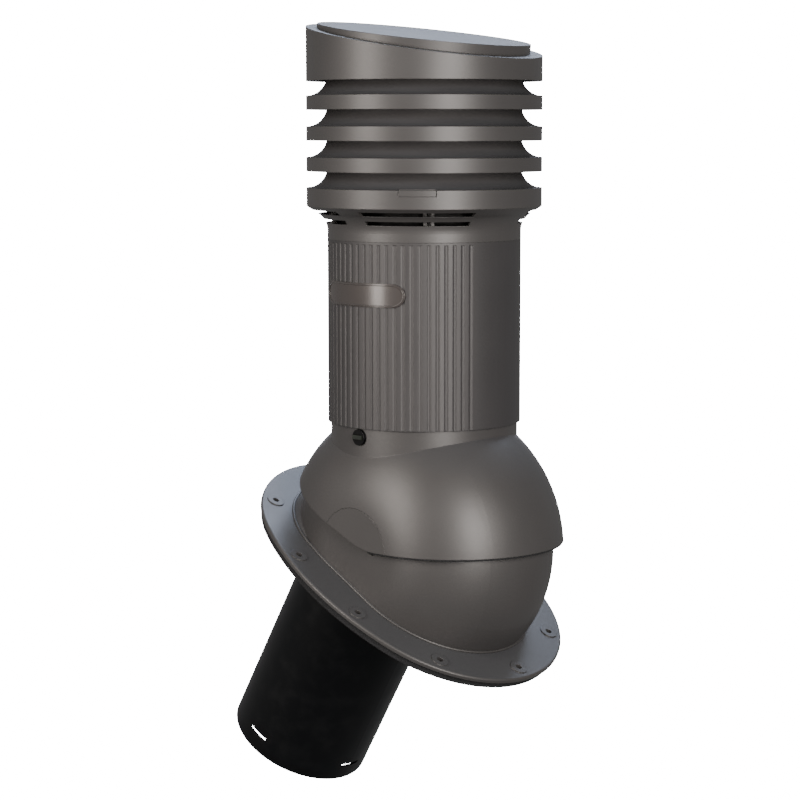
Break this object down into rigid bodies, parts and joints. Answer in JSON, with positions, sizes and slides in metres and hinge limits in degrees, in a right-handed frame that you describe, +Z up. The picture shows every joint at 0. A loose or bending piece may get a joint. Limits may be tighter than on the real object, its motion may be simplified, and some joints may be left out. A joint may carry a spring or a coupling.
{
  "type": "roof vent stack",
  "caption": "Insulated exhaust outlet for a pitched roof: oval flange with bowl, tilting hood, ribbed column, louvred rain cap and a black duct square to the roof.",
  "frame": {"origin": "the point where the axis of the lower duct passes through the underside of the roof gasket, which is the middle of the hole in the roof", "axes": "+Z up, along the column; the roof falls towards +X at 30 degrees; +Y along the level tilt axis, towards the rear side"},
  "size_m": [0.3993, 0.285, 0.8046],
  "materials": {
    "grey_plastic": "satin-matte anthracite, slightly warm",
    "black_plastic": "satin black",
    "rubber": "matte black",
    "steel": "plain",
    "insulation": "matte foam",
    "vial": "pale, glossy"
  },
  "bodies": {
    "base": {"roof_base": "grey_plastic", "roof_gasket": "rubber", "duct_plate": "black_plastic", "duct_seal": "rubber", "plate_screw_1": "steel", "plate_screw_2": "steel", "plate_screw_3": "steel", "plate_screw_4": "steel", "plate_screw_5": "steel", "plate_screw_6": "steel", "lower_duct": "black_plastic", "pivot_bolt_front": "steel", "pivot_bolt_rear": "steel", "flex_elbow": "black_plastic", "lower_clamp": "steel", "lower_clamp_screw": "steel"},
    "stack": {"hood": "grey_plastic", "clamp_screw_front": "steel", "clamp_screw_rear": "steel", "clamp_nut_front": "steel", "clamp_nut_rear": "steel", "side_cover_front": "grey_plastic", "side_cover_rear": "grey_plastic", "outer_shell": "grey_plastic", "neck_seal": "rubber", "name_plate": "grey_plastic", "level_holder": "black_plastic", "level_vial": "vial", "upper_clamp": "steel", "upper_clamp_screw": "steel", "upright_duct": "black_plastic", "insulation_sleeve": "insulation", "cap_base": "grey_plastic", "latch_tab": "grey_plastic", "louvre_ring_1": "grey_plastic", "louvre_ring_2": "grey_plastic", "louvre_ring_3": "grey_plastic", "tie_screw_1": "steel", "tie_screw_2": "steel", "tie_screw_3": "steel", "tie_screw_4": "steel", "cap_shell": "grey_plastic", "cap_lid": "grey_plastic"}
  },
  "joints": [
    {"name": "hood_tilt", "type": "hinge", "parent": "base", "child": "stack", "pos_m": [0.05801, 0, 0.01847], "axis": [0, 1, 0], "range_deg": [-8, 10], "deforming": ["flex_elbow"]}
  ]
}
